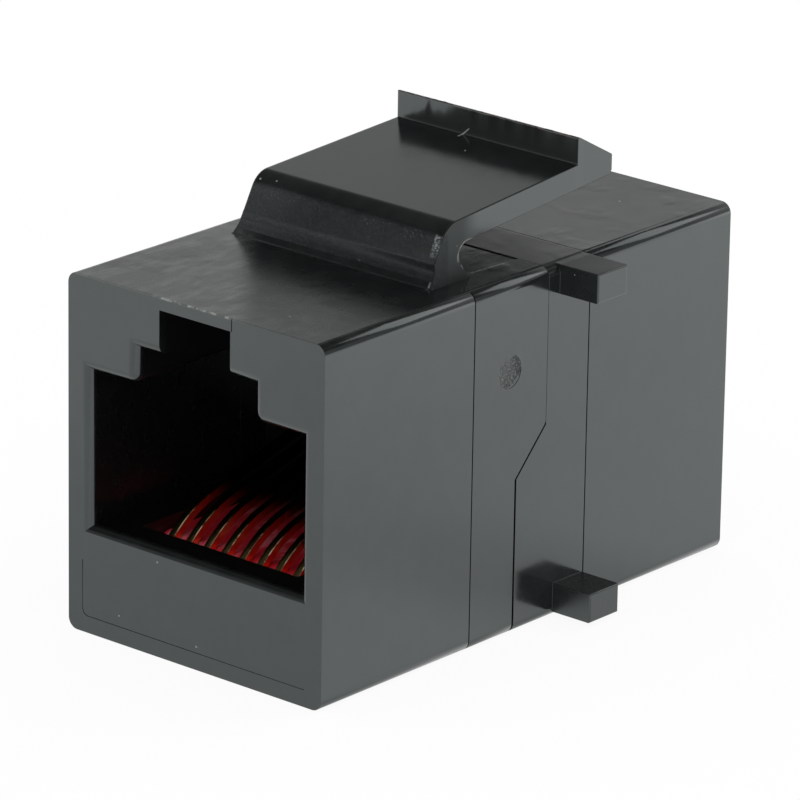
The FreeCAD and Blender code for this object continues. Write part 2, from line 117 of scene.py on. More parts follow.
# Depths behind a port's face between which painted shade fades in, or, where the first is deeper, the
# painted highlight of the cut edge fades out.
CARRIER_FADE = (6.0, 10.0)
CONTACT_FADE = (3.4, 7.0)
CUT_EDGE_FADE = (4.6, 2.4)

# The cut edge of a contact, painted bright as a highlight: where it lies across the contact, and which way
# it faces.
CUT_EDGE = (0.136, 0.175)
CUT_EDGE_FACING = (-0.33, 0.90, -0.27)

# The latch arm's side view: distances from its root line, where it bends, along Y and Z.
ROOT_Y = FACE + 9.75
ROOT_Z = 17.0
BOX_TOP = 16.13
ARM_SLOPE = 0.065
ARM_RISE = 1.66
ARM_UNDER = 0.58
FRONT_HALF = 0.79
BACK_HALF = 0.74
TOE_REACH = 1.3
TOE_SUPPORT = (0.12, 0.07)
FOOT_SUNK = 0.05
ANKLE = -0.25
ANKLE_RISE = 0.5
ANKLE_BEND = 0.5
INSTEP_REACH = 0.08
INSTEP_DROP = 0.05
INSTEP_BEND = 1.1
LEAN_START = 0.1
TOP_BEND = 1.15
INNER_BEND = 0.68
INNER_Y = BACK_HALF + INNER_BEND
INNER_CENTRE = (INNER_Y, ARM_UNDER + ARM_SLOPE * INNER_Y - INNER_BEND)
LIP_START = 8.9
LIP_HEIGHT = 1.285
LIP_LENGTH = 2.44
LIP_FALL = 1.33
LIP_BEVEL = 0.16
LIP_FILLET = 0.03
LIP_FOOT_SUPPORT = 0.16
CORNER_SUPPORT = 0.14
ARM_HALF_WIDTH = 5.525
ARM_TAPER = 0.034
ARM_COLUMNS = 91
TOE_FLARE = 0.16
FLARE_START = -0.3
FLARE_SQUARE = 0.33
ARM_TWIST = 0.045
ARM_SKEW = 0.14

# The front of the arm: where it ends, where painted light greys it on the left, how its skin changes from
# left to right, and the bands of its painted glints.
FRONT_FADE = (-0.15, 0.05)
FRONT_TOP_FADE = (1.35, 1.2)
LEFT_LIGHT_FADE = (-5.2, -1.5)
SKIN_FADE = (-5.0, 1.0)
GLINT_BANDS = ((0.75, 1.25, 0.4), (-0.8, -0.45, 0.3))

# Light marks on the arm: the chips on its front, the rim of its inner bend, which is a painted highlight,
# the strip at the foot of its lip and the torn skin at the lip's top. The right side is matt near the root.
CHIP_HIGH = (0.45, 1.3)
CHIP_X = (5.1, 5.47)
RIM_OFF = (-0.06, 0.075)
RIM_X = (5.3, 5.4)
RIM_ALONG = (0.4, 1.5)
RIM_HIGH = (-0.1, 0.9)
LIP_STRIP_HALF = 0.3
TORN_BELOW = (0.13, 0.05)
ROOT_SIDE_X = (5.4, 5.5)
ROOT_SIDE_ALONG = (0.6, 2.2)

# Wear of the arm: the top edge of the lip is out of line by coarse and fine waves, and a light
# scratch stands at the lip's foot.
LIP_WEAR = (0.025, 0.045)
LIP_SUNK = 0.05
COARSE_WEAR = 1.6
FINE_WEAR = 4.7
FINE_WEAR_SHARE = 0.9
WEAR_ROWS = (5.1, 1.7)
SCRATCH = (-1.25, 19.36)
SCRATCH_SLOPE = 0.9
SCRATCH_REACH = 0.22
SCRATCH_HALF = 0.035
SCRATCH_ALONG = 0.25

EDGE_ROUND = 0.03
STUD_ROUND = 0.08
ARM_EDGE_ROUND = 0.04
ROUND_ABOVE = 32
ARM_ROUND_ABOVE = 35

BLACK = (0.0050, 0.0058, 0.0060)
GREY_BLACK = (0.0090, 0.0102, 0.0102)
# Painted shade inside the ports.
PORT_SHADE_BLACK = (0.0040, 0.0036, 0.0037)
BLACK_CLOUD = (0.32, 0.70)
DUST = (0.26, 0.26, 0.24)
SEAM_GREY = (0.026, 0.027, 0.026)
STREAK_GREY = (0.068, 0.071, 0.068)
# Painted highlights on a line along the top and on the flash at its front edge.
LINE_HIGHLIGHT_GREY = (0.13, 0.14, 0.14)
FLASH_HIGHLIGHT_GREY = (0.20, 0.21, 0.20)
GATE_GREY = (0.050, 0.053, 0.051)
# Painted light on the left of the arm's front.
ARM_LEFT_LIGHT_GREY = (0.034, 0.034, 0.036)
LIP_FOOT_GREY = (0.0125, 0.0130, 0.0130)
MOTTLE_GREY = (0.016, 0.017, 0.024)
# Painted glints on the arm's front.
PAINTED_GLINT_GREY = (0.085, 0.09, 0.10)
CHIP_GREY = (0.26, 0.28, 0.28)
TORN_BROWN = (0.14, 0.085, 0.06)
SCRATCH_GREY = (0.30, 0.30, 0.29)
# Painted highlight on the rim of the arm's inner bend.
RIM_HIGHLIGHT_GREY = (0.20, 0.205, 0.185)
PLASTIC_IOR = 1.7
SHEEN_TINT = (0.90, 1.0, 0.985)
CARRIER_RED = (0.80, 0.022, 0.040)
# Painted highlight on the carrier's streaks.
CARRIER_GLINT_PINK = (0.95, 0.20, 0.24)
CONTACT_GOLD = (0.50, 0.36, 0.16)
CONTACT_DARK = (0.16, 0.10, 0.03)
# Painted shade deep in the port, the painted highlight of the cut edge, and the painted red reflection on
# the right flank.
DEEP_CONTACT_SHADE = (0.04, 0.02, 0.01)
CUT_EDGE_HIGHLIGHT = (1.0, 0.87, 0.58)
FLANK_RED_REFLECTION = (1.0, 0.42, 0.16)

# Roughness that is added to a surface's own.
MATT_FRONT_TOP = 0.12
MATT_REAR_TOP = 0.08
MATT_SEAM = 0.16
MATT_PORT = 0.15
MATT_STUD = 0.12
MATT_ARM_FRONT = 0.17
MATT_ARM_ROOT = 0.45
MATT_CUT_EDGE = 0.15

# How deep the bumps are.
FLOW_DEPTH = 0.018
GATE_DEPTH = 0.035
REAR_LINE_DEPTH = 0.03
HOUSING_GRAIN = 0.0008
SKIN_DEPTH = 0.03
ARM_GRAIN = 0.0015
CARRIER_DEPTH = 0.06
BURR_DEPTH = 0.1


class Shade:
    """Adds nodes to one node tree and joins them up."""

    def __init__(self, tree):
        self.tree = tree
        tree.nodes.clear()

    def add(self, kind, inputs=(), **settings):
        node = self.tree.nodes.new(kind)
        for name, value in settings.items():
            setattr(node, name, value)
        for name, value in dict(inputs).items():
            self.feed(node.inputs[name], value)
        return node

    def feed(self, socket, value):
        if isinstance(value, bpy.types.NodeSocket):
            self.tree.links.new(value, socket)
        else:
            socket.default_value = value

    def math(self, operation, first, second=0.0):
        node = self.add("ShaderNodeMath", operation=operation)
        for socket, value in zip(node.inputs, (first, second)):
            self.feed(socket, value)
        return node.outputs[0]

    def times(self, first, *others):
        for other in others:
            first = self.math("MULTIPLY", first, other)
        return first

    def plus(self, first, *others):
        for other in others:
            first = self.math("ADD", first, other)
        return first

    def remap(self, value, low, high, start=0.0, end=1.0, curve="SMOOTHSTEP"):
        inputs = {"Value": value, "From Min": low, "From Max": high, "To Min": start, "To Max": end}
        return self.add("ShaderNodeMapRange", inputs, interpolation_type=curve).outputs[0]

    def within(self, value, low, high, soft):
        """1 between two limits and 0 outside them, with a soft edge."""
        rise = self.remap(value, low - soft / 2, low + soft / 2)
        fall = self.remap(value, high - soft / 2, high + soft / 2, 1.0, 0.0)
        return self.times(rise, fall)

    def mix(self, factor, first, second, kind="RGBA"):
        """A blend of two colours or, with kind VECTOR, of two directions."""
        node = self.add("ShaderNodeMix", data_type=kind)
        start = {"RGBA": 6, "VECTOR": 4}[kind]
        for index, value in ((0, factor), (start, first), (start + 1, second)):
            self.feed(node.inputs[index], value)
        return node.outputs[{"RGBA": 2, "VECTOR": 1}[kind]]

    def paint(self, base, layers):
        """A base colour with further colours over it, each where its mask is."""
        for mask, tint in layers:
            base = self.mix(mask, base, colour(tint))
        return base

    def parts(self, vector):
        return self.add("ShaderNodeSeparateXYZ", {"Vector": vector}).outputs

    def place(self):
        """The point on the object, in millimetres, as a vector and as its three numbers."""
        metres = self.add("ShaderNodeTexCoord").outputs["Object"]
        scaled = self.add("ShaderNodeVectorMath", {0: metres, "Scale": 1 / MM}, operation="SCALE")
        return scaled.outputs[0], self.parts(scaled.outputs[0])

    def noise(self, vector, scale, detail=3.0, roughness=0.55, stretch=None):
        if stretch:
            mapping = self.add("ShaderNodeMapping", {"Vector": vector, "Scale": stretch})
            vector = mapping.outputs[0]
        inputs = {"Vector": vector, "Scale": scale, "Detail": detail, "Roughness": roughness}
        return self.add("ShaderNodeTexNoise", inputs).outputs["Fac"]

    def specks(self, vector, per_mm, radius, share):
        """Small round spots: a share of the cells of a random pattern has one."""
        node = self.add("ShaderNodeTexVoronoi", {"Vector": vector, "Scale": per_mm})
        near = self.math("LESS_THAN", node.outputs["Distance"], radius * per_mm)
        chance = self.add("ShaderNodeSeparateColor", {"Color": node.outputs["Color"]}).outputs[0]
        return self.times(near, self.math("LESS_THAN", chance, share))

    def distance(self, first, second, centre=(0.0, 0.0)):
        """How far a point is from a centre, by two of its numbers."""
        sides = [
            self.math("POWER", self.math("SUBTRACT", value, middle), 2.0)
            for value, middle in zip((first, second), centre)
        ]
        return self.math("SQRT", self.plus(*sides))

    def plastic(self, base, roughness, normal):
        """Glossy moulded plastic with the same index and tint all over."""
        return self.add("ShaderNodeBsdfPrincipled", {
            "Base Color": base,
            "Roughness": roughness,
            "IOR": PLASTIC_IOR,
            "Specular Tint": colour(SHEEN_TINT),
            "Normal": normal,
        }).outputs[0]

    def bump(self, height, depth, normal=None):
        inputs = {"Height": height, "Distance": depth * MM, "Strength": 1.0}
        if normal:
            inputs["Normal"] = normal
        return self.add("ShaderNodeBump", inputs).outputs[0]

    def finish(self, shader, kind="ShaderNodeOutputMaterial"):
        self.add(kind, {"Surface": shader})


def colour(values):
    return (*values, 1.0)


def new_material(name):
    material = bpy.data.materials.new(name)
    material.use_nodes = True
    return material, Shade(material.node_tree)


def set_material(obj, material):
    obj.data.materials.clear()
    obj.data.materials.append(material)


def inside_ports(shade, axis, across):
    """1 inside either port, behind its rounded mouth."""
    return shade.times(
        shade.remap(across, PORT_HALF - 0.05, PORT_HALF + 0.1, 1.0, 0.0),
        shade.within(axis[2], PORT_FLOOR, TOP - PORT_ROOF, 0.1),
        shade.within(axis[1], FACE + PORT_MOUTH, BACK - PORT_MOUTH, 0.5),
    )


def flow_streaks(shade, point, axis, on_top):
    """Grey streaks on top, in the front left corner, where the plastic flowed."""
    streaks = shade.remap(shade.noise(point, 0.9, 4.0, 0.6, stretch=(1.7, 0.45, 1.0)), 0.45, 0.62)
    diagonal = shade.plus(shade.times(axis[0], STREAK_SLANT), axis[1])
    at_corner = shade.remap(diagonal, *STREAK_END, 1.0, 0.0)
    return shade.times(shade.plus(shade.times(streaks, 0.5), 0.5), at_corner, on_top)


def line_highlight_on_top(shade, point, axis, on_top):
    """A thin painted highlight along the right edge of the top, with a bend in it, where a small step edge
    catches the light.
    """
    first, middle, last = LINE_X
    line_x = shade.plus(
        shade.remap(axis[1], LINE_BEND, LINE_END, middle, last, "LINEAR"),
        shade.remap(axis[1], LINE_START, LINE_BEND, first - middle, 0.0, "LINEAR"),
    )
    off_line = shade.math("ABSOLUTE", shade.math("SUBTRACT", axis[0], line_x))
    return shade.times(
        shade.remap(off_line, 0.02, 0.07, 1.0, 0.0),
        on_top,
        shade.within(axis[1], LINE_START, LINE_END, 0.1),
        shade.remap(shade.noise(point, 1.6), 0.35, 0.6, 0.5, 1.0),
    )


def flash_highlight_at_front(shade, point, axis, on_top):
    """Torn bits of flash along the middle of the top's front edge, painted light grey as the highlight they
    catch.
    """
    return shade.times(
        shade.remap(axis[1], FACE + 0.04, FACE + 0.10, 1.0, 0.0),
        on_top,
        shade.within(axis[0], -FLASH_HALF, FLASH_HALF, 0.6),
        shade.remap(shade.noise(point, 3.5), 0.48, 0.58),
    )


def gate_mark(shade, point, axis):
    """The rough, mottled spot on the right side where the plastic entered the mould."""
    away = shade.math("SUBTRACT", axis[1], GATE[0])
    above = shade.math("SUBTRACT", axis[2], GATE[1])
    long, short = GATE_TILT
    rising = shade.times(shade.plus(shade.times(away, long), shade.times(above, short)), GATE_STRETCH)
    crossing = shade.math("SUBTRACT", shade.times(above, long), shade.times(away, short))
    uneven = shade.times(shade.noise(point, 2.5), 0.5)
    return shade.times(
        shade.remap(shade.plus(shade.distance(rising, crossing), uneven), 0.75, 1.0, 1.0, 0.0),
        shade.remap(axis[0], SIDE - 0.1, SIDE - 0.03),
        shade.remap(shade.noise(point, 4.5, 5.0, 0.75), 0.42, 0.62),
    )


def plastic_housing():
    """Black moulded plastic of the two boxes, with flow marks on top, a rough gate mark, painted shade
    inside the ports, and painted highlights on a line along the top and on the flash at its front edge.
    """
    material, shade = new_material("housing_plastic")
    point, axis = shade.place()
    across = shade.math("ABSOLUTE", axis[0])
    on_top = shade.remap(axis[2], TOP - 0.1, TOP - 0.02)
    on_stud = shade.remap(across, SIDE + 0.02, SIDE + 0.06)
    inside = inside_ports(shade, axis, across)
    by_seam = shade.times(shade.within(axis[1], SEAM_TOP, REAR_LINE, 0.03), on_top)
    gate = gate_mark(shade, point, axis)
    cloud = shade.noise(point, 0.9, 6.0, 0.65)
    base = shade.mix(shade.remap(cloud, *BLACK_CLOUD), colour(BLACK), colour(GREY_BLACK))
    base = shade.paint(base, (
        (shade.specks(point, 0.9, 0.045, 0.35), DUST),
        # Painted shade: the insides of the ports are darker than the rest of the plastic.
        (inside, PORT_SHADE_BLACK),
        (by_seam, SEAM_GREY),
        (flow_streaks(shade, point, axis, on_top), STREAK_GREY),
        # Painted highlight of a small step edge along the top.
        (line_highlight_on_top(shade, point, axis, on_top), LINE_HIGHLIGHT_GREY),
        # Flash, with a painted highlight on it.
        (flash_highlight_at_front(shade, point, axis, on_top), FLASH_HIGHLIGHT_GREY),
        (gate, GATE_GREY),
    ))

    matt_top = shade.plus(
        shade.remap(axis[1], *MATT_FADE, MATT_FRONT_TOP, 0.0),
        shade.remap(axis[1], REAR_LINE - 0.01, REAR_LINE + 0.01, 0.0, MATT_REAR_TOP),
    )
    rough = shade.plus(
        shade.remap(cloud, 0.35, 0.65, 0.13, 0.18, "LINEAR"),
        shade.times(on_top, matt_top),
        shade.times(by_seam, MATT_SEAM),
        shade.times(inside, MATT_PORT),
        shade.times(on_stud, MATT_STUD),
    )

    flow = shade.noise(point, 1.1, 4.0, 0.55, stretch=(1.5, 0.5, 1.0))
    wavy = shade.remap(shade.noise(point, 0.35, 2.0), 0.45, 0.62)
    at_line = shade.within(axis[1], REAR_LINE - REAR_LINE_HALF, REAR_LINE + REAR_LINE_HALF, 0.05)
    beside_line = shade.math("SUBTRACT", 1.0, shade.times(at_line, on_top))
    normal = shade.bump(shade.times(flow, wavy, on_top), FLOW_DEPTH)
    normal = shade.bump(gate, GATE_DEPTH, normal)
    normal = shade.bump(beside_line, REAR_LINE_DEPTH, normal)
    normal = shade.bump(shade.noise(point, 3.2), HOUSING_GRAIN, normal)
    shade.finish(shade.plastic(base, rough, normal))
    return material


def chips_on_front(shade, point, axis, high, front):
    """Light chips along the upper right edge of the arm's front."""
    return shade.times(
        shade.within(high, *CHIP_HIGH, 0.3),
        shade.within(axis[0], *CHIP_X, 0.12),
        front,
        shade.remap(shade.noise(point, 9.0, 5.0, 0.85), 0.46, 0.62),
    )


def torn_lip(shade, point, high):
    """The brownish torn skin along the top edge of the lip."""
    lip_top = ARM_RISE + ARM_SLOPE * LIP_START + LIP_HEIGHT
    ragged = shade.remap(shade.noise(point, 4.0, 4.0, 0.7), 0.48, 0.62)
    low, top = TORN_BELOW
    return shade.times(shade.remap(high, lip_top - low, lip_top - top), ragged)


def lip_scratch(shade, axis, along):
    """A short light scratch that leans, at the foot of the lip."""
    slanted = shade.plus(axis[2], shade.times(axis[0], -SCRATCH_SLOPE))
    middle = SCRATCH[1] - SCRATCH_SLOPE * SCRATCH[0]
    return shade.times(
        shade.within(slanted, middle - SCRATCH_HALF, middle + SCRATCH_HALF, 0.02),
        shade.within(axis[0], SCRATCH[0] - SCRATCH_REACH, SCRATCH[0] + SCRATCH_REACH, 0.1),
        shade.within(along, LIP_START - SCRATCH_ALONG, LIP_START + SCRATCH_ALONG, 0.05),
    )


def inner_rim_highlight(shade, point, axis, along, high):
    """A painted highlight on the rim of the arm's right side, along the inner bend."""
    off_bend = shade.distance(along, high, (INNER_CENTRE[0] - ARM_SKEW, INNER_CENTRE[1] + ARM_TWIST))
    return shade.times(
        shade.within(off_bend, *(INNER_BEND + off for off in RIM_OFF), 0.03),
        shade.remap(axis[0], *RIM_X),
        shade.within(along, *RIM_ALONG, 0.2),
        shade.within(high, *RIM_HIGH, 0.1),
        shade.remap(shade.noise(point, 3.0), 0.4, 0.55, 0.35, 1.0),
    )


def plastic_arm():
    """The same plastic on the latch arm, with a rough skin on its front, painted glints and painted light
    on that front, and bright edges, of which the inner rim is a painted highlight.
    """
    material, shade = new_material("arm_plastic")
    point, axis = shade.place()
    along = shade.math("SUBTRACT", axis[1], ROOT_Y)
    high = shade.math("SUBTRACT", axis[2], ROOT_Z)
    front = shade.times(shade.remap(along, *FRONT_FADE, 1.0, 0.0), shade.remap(high, *FRONT_TOP_FADE))
    band = shade.math("MAXIMUM", *(shade.within(high, *limits) for limits in GLINT_BANDS))
    patch = shade.remap(shade.noise(point, 1.1, 2.0), 0.4, 0.6)
    mottle = shade.remap(shade.noise(point, 6.0, 4.0, 0.75), 0.45, 0.7)
    painted_glint = shade.remap(shade.noise(point, 13.0, 1.0), 0.63, 0.70)
    cloud = shade.noise(point, 0.9, 5.0, 0.6)
    base = shade.mix(shade.remap(cloud, *BLACK_CLOUD), colour(BLACK), colour(GREY_BLACK))
    base = shade.paint(base, (
        (shade.specks(point, 1.1, 0.05, 0.35), DUST),
        # Painted light: the arm's front is greyer towards its left.
        (shade.times(shade.remap(axis[0], *LEFT_LIGHT_FADE, 0.7, 0.0), front), ARM_LEFT_LIGHT_GREY),
        (shade.within(along, LIP_START - LIP_STRIP_HALF, LIP_START + LIP_STRIP_HALF, 0.1), LIP_FOOT_GREY),
        (shade.times(mottle, front), MOTTLE_GREY),
        # Painted glints in bands on the arm's front.
        (shade.times(painted_glint, front, shade.math("MAXIMUM", band, 0.25), patch), PAINTED_GLINT_GREY),
        (chips_on_front(shade, point, axis, high, front), CHIP_GREY),
        (torn_lip(shade, point, high), TORN_BROWN),
        (lip_scratch(shade, axis, along), SCRATCH_GREY),
        # Painted highlight on the rim of the inner bend.
        (inner_rim_highlight(shade, point, axis, along, high), RIM_HIGHLIGHT_GREY),
    ))

    root_side = shade.times(
        shade.remap(axis[0], *ROOT_SIDE_X),
        shade.remap(along, *ROOT_SIDE_ALONG, 1.0, 0.0),
    )
    rough = shade.plus(
        shade.remap(cloud, 0.3, 0.7, 0.15, 0.21, "LINEAR"),
        shade.times(front, MATT_ARM_FRONT),
        shade.times(root_side, MATT_ARM_ROOT),
    )
    worn = shade.times(front, shade.remap(axis[0], *SKIN_FADE, 1.0, 0.3))
    normal = shade.bump(shade.times(shade.noise(point, 7.0, 4.0, 0.7), worn), SKIN_DEPTH)
    normal = shade.bump(shade.noise(point, 2.4, 4.0), ARM_GRAIN, normal)
    shade.finish(shade.plastic(base, rough, normal))
    return material


def red_carrier():
    """Red moulded plastic with pink streaks of painted highlight, darkened by painted shade towards the
    inside of the port.
    """
    material, shade = new_material("carrier_plastic")
    point, axis = shade.place()
    streak = shade.noise(point, 2.2, 4.0, 0.6, stretch=(1.0, 0.3, 1.0))
    # Pink streaks over the red are a painted highlight.
    base = shade.mix(shade.remap(streak, 0.52, 0.64), colour(CARRIER_RED), colour(CARRIER_GLINT_PINK))
    shader = shade.add("ShaderNodeBsdfPrincipled", {
        # Painted shade darkens the red deeper in the port.
        "Base Color": shade.mix(port_depth(shade, axis, *CARRIER_FADE), base, colour(PORT_SHADE_BLACK)),
        "Roughness": shade.remap(streak, 0.3, 0.7, 0.30, 0.45, "LINEAR"),
        "IOR": PLASTIC_IOR,
        "Normal": shade.bump(streak, CARRIER_DEPTH),
    })
    shade.finish(shader.outputs[0])
    return material


def port_depth(shade, axis, start, end):
    """Goes from 0 to 1 between two depths behind either port's face."""
    from_face = shade.math("SUBTRACT", -FACE, shade.math("ABSOLUTE", axis[1]))
    return shade.remap(from_face, start, end)


def gold():
    """Gold plated strip with a painted reflection of the red carrier on its right flank, a painted
    highlight along the rough cut edge above it, and painted shade deeper in the port.
    """
    material, shade = new_material("contact_gold")
    point, axis = shade.place()
    drawn = shade.noise(point, 14.0, 2.0, stretch=(1.0, 0.05, 0.05))
    from_first = shade.plus(axis[0], (CONTACT_ROW + PITCH) / 2)
    in_pitch = shade.math("SUBTRACT", shade.math("MODULO", from_first, PITCH), PITCH / 2)
    facing = shade.parts(shade.add("ShaderNodeNewGeometry").outputs["True Normal"])
    cut_edge = shade.times(
        shade.within(in_pitch, *CUT_EDGE, 0.02),
        port_depth(shade, axis, *CUT_EDGE_FADE),
        shade.remap(facing[2], 0.05, 0.2),
        shade.remap(shade.noise(point, 2.5, 3.0, 0.7), 0.35, 0.6, 0.25, 1.0),
    )
    base = shade.mix(drawn, colour(CONTACT_GOLD), colour(CONTACT_DARK))
    base = shade.paint(base, (
        # Painted reflection of the red carrier on the right flank.
        (shade.remap(facing[0], 0.7, 0.9), FLANK_RED_REFLECTION),
        # Painted highlight along the cut edge.
        (cut_edge, CUT_EDGE_HIGHLIGHT),
        # Painted shade on the contacts deeper in the port.
        (port_depth(shade, axis, *CONTACT_FADE), DEEP_CONTACT_SHADE),
    ))
    rough = shade.plus(
        shade.remap(drawn, 0.3, 0.7, 0.18, 0.28, "LINEAR"),
        shade.times(cut_edge, MATT_CUT_EDGE),
    )
    burr = shade.times(shade.noise(point, 9.0, 4.0, 0.8), cut_edge)
    mouth = shade.math("SIGN", axis[1])
    to_mouth = shade.add("ShaderNodeCombineXYZ", {
        letter: shade.times(mouth, share) for letter, share in zip("XYZ", CUT_EDGE_FACING)
    })
    shader = shade.add("ShaderNodeBsdfPrincipled", {
        "Base Color": base,
        "Metallic": 1.0,
        "Roughness": rough,
        "Normal": shade.mix(cut_edge, shade.bump(burr, BURR_DEPTH), to_mouth.outputs[0], "VECTOR"),
    })
    shade.finish(shader.outputs[0])
    return material


def round_studs(obj):
    """A wider round on the edges of the studs' end faces."""
    studs = obj.vertex_groups.new(name="stud_ends")
    outer = [vertex.index for vertex in obj.data.vertices if abs(vertex.co.x) > (SIDE + 0.05) * MM]
    studs.add(outer, 1.0, "REPLACE")
    bevel = obj.modifiers.new("stud_edges", "BEVEL")
    bevel.width = STUD_ROUND * MM
    bevel.segments = 3
    bevel.limit_method = "VGROUP"
    bevel.vertex_group = studs.name


def round_edges(obj, width, sharper_than):
    """A small round on the edges that are sharper than this angle, in degrees."""
    bevel = obj.modifiers.new("soft_edges", "BEVEL")
    bevel.width = width * MM
    bevel.segments = 2
    bevel.limit_method = "ANGLE"
    bevel.angle_limit = math.radians(sharper_than)
    return bevel


def even_normals(obj):
    """Weighted normals, which keep the flat faces flat beside their rounded edges."""
    normals = obj.modifiers.new("even_normals", "WEIGHTED_NORMAL")
    normals.weight = 80
    normals.thresh = 0.0


def soften_solid(obj, with_studs):
    """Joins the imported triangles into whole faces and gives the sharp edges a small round."""
    weld = obj.modifiers.new("weld", "WELD")
    weld.merge_threshold = 0.0005 * MM
    flat = obj.modifiers.new("flat_faces", "DECIMATE")
    flat.decimate_type = "DISSOLVE"
    flat.angle_limit = math.radians(0.5)
    if with_studs:
        round_studs(obj)
    bevel = round_edges(obj, EDGE_ROUND, ROUND_ABOVE)
    bevel.miter_outer = "MITER_ARC"
    even_normals(obj)
    triangles = obj.modifiers.new("triangles", "TRIANGULATE")
    triangles.keep_custom_normals = True


def corner_round(before, corner, after, radius, steps):
    """Points of an arc of this radius that rounds off a corner of an outline."""
    before, corner, after = Vector(before), Vector(corner), Vector(after)
    back = (before - corner).normalized()
    on = (after - corner).normalized()
    half = back.angle(on) / 2
    reach = radius / math.tan(half)
    centre = corner + (back + on).normalized() * (radius / math.sin(half))
    first = corner + back * reach - centre
    last = corner + on * reach - centre
    turn = first.angle(last)
    points = []
    for step in range(steps + 1):
        share = step / steps
        blend = (first * math.sin((1 - share) * turn) + last * math.sin(share * turn)) / math.sin(turn)
        points.append(tuple(centre + blend))
    return points


def arm_outline():
    """The outline of the arm and its foot, from the front of the foot over the top to its back.

    A support point stands near the end of each long stretch, so that the small rounds of the
    corners don't tilt the shading of the whole stretch.
    """
    foot = BOX_TOP - ROOT_Z
    instep = -FRONT_HALF - INSTEP_REACH
    top_front = (0.0, ARM_RISE)
    lean = (-FRONT_HALF, LEAN_START)
    top_lip = ARM_RISE + ARM_SLOPE * LIP_START
    lip_top = top_lip + LIP_HEIGHT
    end = LIP_START + LIP_LENGTH
    end_top = lip_top - LIP_FALL
    slope_drop = CORNER_SUPPORT * LIP_FALL / LIP_LENGTH
    under_end = ARM_UNDER + ARM_SLOPE * end
    under_back = (BACK_HALF, ARM_UNDER + ARM_SLOPE * BACK_HALF)
    back_ankle = (BACK_HALF, ANKLE)
    front_toe = (-TOE_REACH, foot)
    back_toe = (TOE_REACH, foot)
    points = [(-TOE_REACH, foot - FOOT_SUNK), front_toe]
    points += [(TOE_SUPPORT[0] - TOE_REACH, foot + TOE_SUPPORT[1])]
    points += corner_round(front_toe, (instep, ANKLE - INSTEP_DROP), lean, INSTEP_BEND, 10)
    points += corner_round((instep, ANKLE), lean, top_front, ANKLE_BEND, 8)
    points += corner_round(lean, top_front, (LIP_START, top_lip), TOP_BEND, 12)
    points += corner_round(top_front, (LIP_START, top_lip), (LIP_START, lip_top), LIP_FILLET, 3)
    points += [
        (LIP_START, top_lip + LIP_FOOT_SUPPORT),
        (LIP_START, lip_top - CORNER_SUPPORT),
        (LIP_START, lip_top),
        (LIP_START + CORNER_SUPPORT, lip_top - slope_drop),
        (end - CORNER_SUPPORT, end_top + slope_drop),
        (end, end_top),
        (end, under_end + LIP_BEVEL),
        (end - LIP_BEVEL, under_end - ARM_SLOPE * LIP_BEVEL),
    ]
    points += corner_round((end, under_end), under_back, back_ankle, INNER_BEND, 10)
    points += corner_round((BACK_HALF, LEAN_START), back_ankle, back_toe, ANKLE_BEND, 4)
    points += [back_toe, (TOE_REACH, foot - FOOT_SUNK)]
    return points


def arm_half_width(along, high):
    """Half the arm's width, which shrinks to the lip and flares at the foot's base."""
    taper = ARM_TAPER * max(along - FRONT_HALF, 0.0)
    flare = TOE_FLARE * max(FLARE_START - high, 0.0) ** 2 / FLARE_SQUARE
    return ARM_HALF_WIDTH - taper + flare


def chipped(wide, along, high):
    """How far a point on the lip's top edge is out of line, because that edge is worn."""
    at_lip = ARM_RISE + ARM_SLOPE * LIP_START + LIP_HEIGHT
    if abs(high - at_lip) > 0.01:
        return Vector((0, 0, 0))
    coarse = noise.noise(Vector((wide * COARSE_WEAR, WEAR_ROWS[0], along)))
    fine = noise.noise(Vector((wide * FINE_WEAR, WEAR_ROWS[1], 0)))
    wear = coarse + FINE_WEAR_SHARE * fine
    return Vector((0, LIP_WEAR[0] * wear, LIP_WEAR[1] * wear - LIP_SUNK))


def arm_point(across, along, high):
    """A point of the arm's skin, from -1 at its left side to 1 at its right, skewed and twisted."""
    wide = across * arm_half_width(along, high)
    above = min(max(high - ANKLE, 0.0) / ANKLE_RISE, 1.0)
    place = Vector((wide, ROOT_Y + along, ROOT_Z + high))
    place.y -= ARM_SKEW * across * above
    place.z += ARM_TWIST * across * above
    return (place + chipped(wide, along, high)) * MM


def build_arm():
    """The latch arm with its foot as one moulded piece, whose outline curves up from the root."""
    outline = arm_outline()
    mesh = bpy.data.meshes.new("latch_arm_moulding")
    maker = bmesh.new()
    rows = []
    for column in range(ARM_COLUMNS):
        across = 2 * column / (ARM_COLUMNS - 1) - 1
        rows.append([maker.verts.new(arm_point(across, along, high)) for along, high in outline])
    for left, right in zip(rows, rows[1:]):
        for index in range(len(outline)):
            after = (index + 1) % len(outline)
            maker.faces.new((left[index], left[after], right[after], right[index]))
    maker.faces.new(list(reversed(rows[0])))
    maker.faces.new(rows[-1])
    bmesh.ops.recalc_face_normals(maker, faces=maker.faces)
    maker.to_mesh(mesh)
    maker.free()
    mesh.shade_smooth()
    arm = bpy.data.objects.new("latch_arm_moulding", mesh)
    bpy.context.scene.collection.objects.link(arm)
    round_edges(arm, ARM_EDGE_ROUND, ARM_ROUND_ABOVE)
    even_normals(arm)
    set_material(arm, plastic_arm())
    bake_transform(arm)
    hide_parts("latch_arm")


def dress_solids():
    """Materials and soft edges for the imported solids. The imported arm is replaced, so it stays plain."""
    looks = {"housing": plastic_housing(), "carrier": red_carrier(), "contact": gold()}
    for name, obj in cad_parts.items():
        if name == "latch_arm":
            set_material(obj, looks["housing"])
        else:
            kind = next(word for word in looks if word in name)
            set_material(obj, looks[kind])
            soften_solid(obj, with_studs=(name == "rear_housing"))


